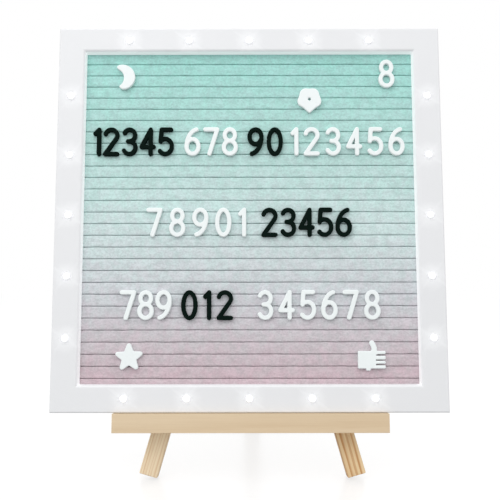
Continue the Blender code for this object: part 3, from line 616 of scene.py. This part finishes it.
white_figure = moulded("white_figure_plastic", paint(238, 244, 244), 0.4, gloss=0.3)
black_figure = moulded("black_figure_plastic", paint(2, 18, 13), 0.55, gloss=0.06)
for name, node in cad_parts.items():
    if "digit" not in name and "figure" not in name:
        continue
    slot = node.data.materials[0].name
    loops, face_level = outlines(node, -1)
    back_level = face_level - FIGURE_THICKNESS
    skins = [rounded_plate(loops, back_level, face_level)]
    tabs, tab_level = outlines(node, 0)
    for tab in tabs:
        low, high = tab.min(0), tab.max(0)
        middle, half = (low + high) / 2, (high - low) / 2
        half[1] = min(half[1], TAB_HALF_HEIGHT)
        size = np.array((1, 1, 0.97, 0.8))[:, None]
        corners_u = middle[0] + half[0] * size * (-1, 1, 1, -1)
        corners_v = middle[1] + half[1] * size * (-1, -1, 1, 1)
        depth = np.array((back_level + 0.0001, back_level, tab_level + 0.0004, tab_level))
        corners = on_board(corners_u, corners_v, depth[:, None])
        skins.append(skin(corners, close_columns=True, ends=True))
    stuff = white_figure if slot.startswith("white") else black_figure
    piece(name + "_moulded", skins, stuff, stands_for=[name])

# Back. A pale moulded plate closes the frame, and pan-head screws with a cross recess hold it
# near its edge. The battery box is moulded in the same plastic.
back_plastic = moulded("back_plate_plastic", paint(228, 229, 231), 0.5, 1.8, 0.4)
for name in ("back_panel", "battery_box", "battery_cover"):
    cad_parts[name].data.materials[0] = back_plastic
BACK_FACE = -0.0157


def screw_heads(centres, face, radius, height):
    """Skins of round heads that stand out backwards. Their height falls off as one less 0.55 of
    the fourth power of how far out a point is, and drops inside a cross of two narrow bars, by
    0.7 mm or by 0.8 of the height if that is less."""
    rim = (0.72, 0.82, 0.91, 0.97, 1.0, 1.0)
    out = np.concatenate(((0.02,), np.linspace(0.06, 0.62, 13), rim))[:, None]
    turn = circle(64)
    x, y = out * radius * np.cos(turn), out * radius * np.sin(turn)
    narrow, long = np.minimum(np.abs(x), np.abs(y)), np.maximum(np.abs(x), np.abs(y))
    within_width = np.clip((0.16 * radius - narrow) / 0.00012 + 0.5, 0, 1)
    cross = within_width * np.clip((0.56 * radius - long) / 0.0003, 0, 1)
    rise = height * (1 - 0.55 * out**4) - np.minimum(0.0007, height * 0.8) * cross
    rise[-1] = -0.0001
    for u, v in centres:
        spots = on_board(u + x, v + y, face - rise)
        yield skin(spots, close_columns=True, ends=True)


def steel(name, base=0.66, roughness=0.3, brushed=(1, 1, 1)):
    """Plated steel, a little uneven in tone and gloss."""
    made, shader, wire = material(name, Metallic=1.0)
    place = in_room(wire)
    cloud = place.noise(260, 3)
    drive(
        shader,
        wire,
        Base_Color=cloud.mix(grey(base * 0.88), (base, base, base * 0.99, 1)),
        Roughness=roughness - 0.08 + place.noise(1100, 2, 0.6, brushed) * 0.16,
        Bump=place.noise(1500, 2, 0.5, brushed) * 0.000008,
    )
    return made


screw_steel = steel("screw_steel")
LINE = 0.107
corner_screws = [(-LINE, -LINE), (LINE, -LINE), (-LINE, LINE), (LINE, LINE)]
side_screws = [(-LINE, 0), (LINE, 0), (-0.062, LINE), (0.062, LINE), (-0.03, -LINE), (0.03, -LINE)]
back_screws = screw_heads(corner_screws + side_screws, BACK_FACE, 0.0024, 0.0011)
piece("back_screws", list(back_screws), screw_steel)

# Cells and contacts. Three round cells lie side by side in the bay, each with a steel can whose
# ends show and a plain shrink jacket. A coil spring presses on each flat end, and a plate with a
# pressed dome meets each nub.
contact_steel = steel("contact_steel", 0.74, 0.22)
CAN = np.array(
    (
        (0.0001, 0.0003), (0.0044, 0.0003), (0.0048, 0.0), (0.0064, 0.0), (0.0068, 0.0002),
        (0.0071, 0.0007), (0.0071, 0.0469), (0.0070, 0.0474), (0.0066, 0.0479), (0.0060, 0.0481),
        (0.0040, 0.0479), (0.0031, 0.0480), (0.0027, 0.0483), (0.0027, 0.0490), (0.0024, 0.0493),
        (0.0001, 0.0493),
    )
)  # fmt: skip
BAY_LEFT, BAY_RIGHT = -0.03725, 0.01965
SPRING_WIRE, PLATE_HALF, PLATE_POINTS = 0.00038, 0.0055, 25


def board_box(node):
    """The least and the most u, v and w that a CAD node reaches."""
    spots = np.array([k.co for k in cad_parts[node].data.vertices])
    spots = (spots - FACE_MIDDLE) @ BOARD_AXES.T
    return spots.min(0), spots.max(0)


contacts = []
for number in (1, 2, 3):
    name = f"cell_{number}"
    low, high = board_box(name)
    _, v_cell, w_cell = (low + high) / 2
    onward = 1 if number % 2 else -1
    flat_end, spring_wall, nub_wall = (
        (low[0], BAY_LEFT, BAY_RIGHT) if number % 2 else (high[0], BAY_RIGHT, BAY_LEFT)
    )
    jacket, shader, wire = material(f"cell_jacket_{number}", Coat_Weight=0.2, Coat_Roughness=0.15)
    # x runs from the cell's flat end to its nub, and y and z go out from its middle line.
    flat_middle = tuple(on_board(flat_end, v_cell, w_cell))
    place = in_room(wire).placed(Location=flat_middle, Scale=(onward, 1, 1))
    x, y, z = place.axes()
    out = how_far(y, z).step(0.0054, 0.0055)
    sleeve = x.step(0.0004, 0.0006) * x.step(0.0476, 0.0478, 1, 0) * out
    band = x.step(0.0335, 0.0337)
    print_colour = band.mix((*paint(38, 40, 44), 1), (*paint(176, 116, 74), 1))
    scuffed = place.noise(420, 4, 0.7).step(0.6, 0.75)
    drive(
        shader,
        wire,
        Base_Color=sleeve.mix((0.68, 0.67, 0.65, 1), print_colour),
        Metallic=1 - sleeve * (1 - band * 0.6),
        Roughness=0.24 + scuffed * 0.16,
        Bump=sleeve * 0.00006 + place.noise(900, 2) * 0.000008,
    )
    turn = circle(48)
    can = on_board(
        flat_end + onward * CAN[:, 1, None],
        v_cell + CAN[:, 0, None] * np.cos(turn),
        w_cell + CAN[:, 0, None] * np.sin(turn),
    )
    piece(
        f"cell_{number}_can",
        [skin(can, close_columns=True, ends=True)],
        jacket,
        stands_for=[name],
        sharp=40,
    )
    # The spring's line winds three and a half times while it draws in from 4.6 to 2.6 mm.
    t = np.linspace(0, 1, 110)[:, None]
    wind = 7 * np.pi * t
    round_wire = circle(8)
    ring = 0.0046 - 0.002 * t + SPRING_WIRE * np.cos(round_wire)
    along = 0.0007 + (abs(flat_end - spring_wall) - 0.0012) * t + SPRING_WIRE * np.sin(round_wire)
    spring = on_board(
        spring_wall + onward * along, v_cell + ring * np.cos(wind), w_cell + ring * np.sin(wind)
    )
    contacts.append(skin(spring, close_columns=True, ends=True))
    # Each plate is a grid whose middle stands out as the square of one less the square of how
    # far out a point is, over a disc of 4.5 mm.
    line = np.linspace(-PLATE_HALF, PLATE_HALF, PLATE_POINTS)
    a, b = np.meshgrid(line, line)
    for wall, way, dome in ((spring_wall, onward, 0.0), (nub_wall, -onward, 0.0036)):
        stand = dome * np.clip(1 - (a * a + b * b) / 0.0045**2, 0, 1) ** 2
        front = on_board(wall + way * (0.00035 + stand), v_cell + a, w_cell + b)
        rear_wall = wall + way * (0.00005 + stand * 0.9)
        rear = on_board(rear_wall, v_cell + a * 0.999, w_cell + b * 0.999)
        points, faces = skin(np.concatenate((front, rear[::-1])), close_rows=True)
        last = 2 * PLATE_POINTS - 1
        for column in (0, PLATE_POINTS - 1):
            for k in range(PLATE_POINTS - 1):
                rows = (k, k + 1, last - k - 1, last - k)
                faces.append([row * PLATE_POINTS + column for row in rows])
        contacts.append((points, faces))
piece("cell_contacts", contacts, contact_steel)

# Switch. A black moulded slider, a square stem held in a slot of the battery box by its flange.
# It turns the lights on and off.
switch_plastic = moulded("switch_plastic", paint(26, 27, 29), 0.45, 1.4, 0.3)
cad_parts["power_switch"].data.materials[0] = switch_plastic

# Easel. Pine bars, sawn along the grain, with eased edges and a clear satin coat. Each bar comes
# from another part of the log, so its year rings run their own way.


def pine(name, along, pith, light, dark, rings=0.0021, contrast=1.0):
    """Wood: year rings are how far a point is from the pith line, bent by slow noise. The grain
    runs along a direction, and the pith line goes through one point."""
    made, shader, wire = material(name, IOR=1.45, Specular_IOR_Level=0.25)
    lie = tuple(Vector(along).to_track_quat("Z", "Y").to_euler())
    grain = in_room(wire).placed(Location=pith, Rotation=lie)
    bent = grain.noise(16, 2, 0.5, (1, 1, 7)) + grain.noise(240, 2, 0.6, (1, 1, 14)) * 0.34
    fine = grain.noise(1500, 3, 0.6, (1, 1, 40))
    fibre = grain.noise(420, 4, 0.65, (1, 1, 30))
    x, y, _ = grain.axes()
    far = how_far(x, y) + (bent - 0.5) * 0.006
    year = (far / rings).maths("FRACT")
    late = year.step(0.35, 0.82) * year.step(0.9, 1.0, 1, 0)
    within = (far / (rings * 0.31)).maths("SINE") * 0.5 + 0.5
    fibres = (fibre - 0.5) * 0.9 * contrast + (fine - 0.5) * 0.5
    tone = late * (0.5 * contrast) + within * 0.1 + fibres + 0.18
    slow = grain.noise(9, 2, 0.5, (1, 1, 5))
    colour = tone.step(0.0, 1.0).mix((*paint(*light), 1), (*paint(*dark), 1))
    shade = slow.step(0.35, 0.7).mix(grey(1), (0.93, 0.9, 0.87, 1))
    drive(
        shader,
        wire,
        Base_Color=colour.times(shade),
        Roughness=0.5 + fibre * 0.2 - late * 0.08,
        Bump=fibre * 0.00006 + fine * 0.00003 - late * 0.00002,
    )
    return made


def up_board(splay):
    """A direction in the board's plane that many degrees to the right of straight up."""
    splay = math.radians(splay)
    return tuple(np.array((math.sin(splay), math.cos(splay), 0)) @ BOARD_AXES)


def ease(bar, width, segments, harden=False):
    """Rounds a bar's edges."""
    easing = bar.modifiers.new("easing", "BEVEL")
    easing.width, easing.segments, easing.harden_normals = width, segments, harden


ledge_pine = pine(
    "ledge_pine", (1, 0, 0), (0, -0.16, 0.09), (226, 206, 176), (211, 187, 153), 0.0034, 0.4
)
SPLAY = 15.9
woods = {
    "front_leg_left": pine(
        "left_leg_pine",
        up_board(SPLAY),
        (-0.16, -0.01, 0),
        (255, 236, 204),
        (226, 188, 144),
        0.0017,
        0.62,
    ),
    "front_leg_right": pine(
        "right_leg_pine",
        up_board(-SPLAY),
        (0.13, -0.06, 0),
        (255, 230, 186),
        (208, 152, 96),
        0.0031,
        1.05,
    ),
    "rear_leg": pine(
        "rear_leg_pine",
        (0, -0.309, 0.951),
        (0.05, 0.06, 0),
        (228, 206, 170),
        (194, 162, 120),
        0.003,
        0.8,
    ),
    "stop_block": pine(
        "block_pine", (1, 0, 0), (0, -0.06, 0.26), (226, 204, 168), (190, 158, 116)
    ),
}
# The ledge is a plain bar with crisp edges, a hair shallower than its solid.
low, high = board_box("ledge")
high[2] -= 0.0001
ledge_ends = np.array((low[0], high[0]))[:, None]
ledge_v = np.array((low[1], low[1], high[1], high[1]))
ledge_w = np.array((low[2], high[2], high[2], low[2]))
ledge_skin = skin(on_board(ledge_ends, ledge_v, ledge_w), close_columns=True, ends=True)
ledge_bar = piece("ledge_bar", [ledge_skin], ledge_pine, stands_for=["ledge"])
ease(ledge_bar, 0.00015, 2)
for name, wood in woods.items():
    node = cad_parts[name]
    work = bmesh.new()
    work.from_mesh(node.data)
    bmesh.ops.remove_doubles(work, verts=work.verts, dist=1e-6)
    bmesh.ops.dissolve_limit(work, angle_limit=0.01, verts=work.verts, edges=work.edges)
    mesh = bpy.data.meshes.new(name + "_bar")
    work.to_mesh(mesh)
    work.free()
    mesh.materials.append(wood)
    bar = bpy.data.objects.new(name + "_bar", mesh)
    bpy.context.scene.collection.objects.link(bar)
    ease(bar, 0.0008, 3, harden=True)
    mesh.shade_smooth()
    mesh.set_sharp_from_angle(angle=math.radians(50))
    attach(bar, "rear_leg" if name == "rear_leg" else "stand")
    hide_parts(name)

# Fasteners of the easel. A steel pin with domed ends carries the three legs, and a screw with a
# low round head holds the ledge through each front leg from behind.
PIN_DOME = 0.0009
low, high = board_box("hinge_pin")
_, v_pin, w_pin = (low + high) / 2
radius = (high[1] - low[1]) / 2
turn = np.radians(np.linspace(0, 86, 8))
dome = np.stack((radius * np.cos(turn), PIN_DOME * np.sin(turn) - PIN_DOME), -1)
pin_line = np.concatenate((dome[::-1] * (1, -1) + (0, low[0]), dome + (0, high[0])))
turn = circle(36)
pin_skin = on_board(
    pin_line[:, 1, None],
    v_pin + pin_line[:, 0, None] * np.cos(turn),
    w_pin + pin_line[:, 0, None] * np.sin(turn),
)
pin_steel = steel("pin_steel_plated", 0.68, 0.28, (1, 8, 8))
piece(
    "steel_pin",
    [skin(pin_skin, close_columns=True, ends=True)],
    pin_steel,
    stands_for=["hinge_pin"],
    sharp=40,
)
LEG_BACK = -0.0263
behind_ledge = [(0.0586, -0.13), (-0.0548, -0.13)]
piece(
    "ledge_screws",
    list(screw_heads(behind_ledge, LEG_BACK, 0.003, 0.0004)),
    steel("ledge_screw_steel", 0.6),
)

# Studio. A large white floor that fades into a white surround, an even white sky, a broad lamp
# above the front on the left and a weaker one at either side. The camera looks slightly down.
floor_mesh = bpy.data.meshes.new("floor")
floor_mesh.from_pydata([(-4, -4, 0), (4, -4, 0), (4, 4, 0), (-4, 4, 0)], [], [(0, 1, 2, 3)])
floor = bpy.data.objects.new("floor", floor_mesh)
bpy.context.scene.collection.objects.link(floor)
floor_white, shader, wire = material(
    "floor_white", Roughness=0.3, IOR=1.9, Specular_IOR_Level=1.0, Emission_Strength=1.0
)
place = in_room(wire)
x, y, _ = place.axes()
away = (how_far(x, y) + place.noise(5, 2) * 0.02).step(0.2, 0.8, 0.55, 1)
by_camera = wire.add("ShaderNodeLightPath", out="Is Camera Ray")
seen = by_camera.maths("MAXIMUM", wire.add("ShaderNodeLightPath", out="Is Glossy Ray"))
# Only what the camera and reflections see of the floor is brightened towards white.
drive(
    shader,
    wire,
    Base_Color=seen.mix(grey(0.3), grey(0.6)),
    Emission_Color=seen.mix(grey(0), grey(0.37)),
)
bright = wire.add("ShaderNodeEmission", {}, {"Color": grey(1), "Strength": 1.0})
surface = Wire(wire.tree, shader.outputs[0])
mixed = wire.add("ShaderNodeMixShader", {}, {0: seen * away, 1: surface, 2: bright})
output = wire.tree.nodes["Material Output"]
wire.tree.links.new(mixed.socket, output.inputs["Surface"])
floor_mesh.materials.append(floor_white)

world = bpy.data.worlds.new("surround")
world.use_nodes = True
bpy.context.scene.world = world
background = world.node_tree.nodes["Background"]
background.inputs["Color"].default_value = grey(1)
background.inputs["Strength"].default_value = 1.0


def lamp(name, place, target, power, size=0.8):
    """A square soft lamp at a place, facing a target."""
    light = bpy.data.lights.new(name, "AREA")
    light.shape, light.size, light.energy = "SQUARE", size, power
    obj = bpy.data.objects.new(name, light)
    obj.location = place
    obj.rotation_euler = (Vector(target) - Vector(place)).to_track_quat("-Z", "Y").to_euler()
    bpy.context.scene.collection.objects.link(obj)


lamp("key", (-0.35, -0.62, 1.02), (0, 0, 0.15), 2.98)
lamp("left_fill", (-0.85, -0.75, 1.0), (0, 0, 0.2), 1.14)
lamp("right_fill", (0.85, -0.75, 1.0), (0, 0, 0.2), 1.14)

camera_data = bpy.data.cameras.new("camera")
camera_data.sensor_width, camera_data.lens = 36, 57.6
camera_data.clip_start = 0.01
camera = bpy.data.objects.new("camera", camera_data)
camera.location = on_board(0.001, -0.0868, 0.515)
facing = Matrix.Identity(3)
for degrees, axis in ((77, "X"), (0.06, "Y"), (7.05, "X"), (-0.07, "Z")):
    facing = facing @ Matrix.Rotation(math.radians(degrees), 3, axis)
camera.rotation_euler = facing.to_euler()
bpy.context.scene.collection.objects.link(camera)
bpy.context.scene.camera = camera
bpy.context.scene.view_settings.view_transform = "Standard"
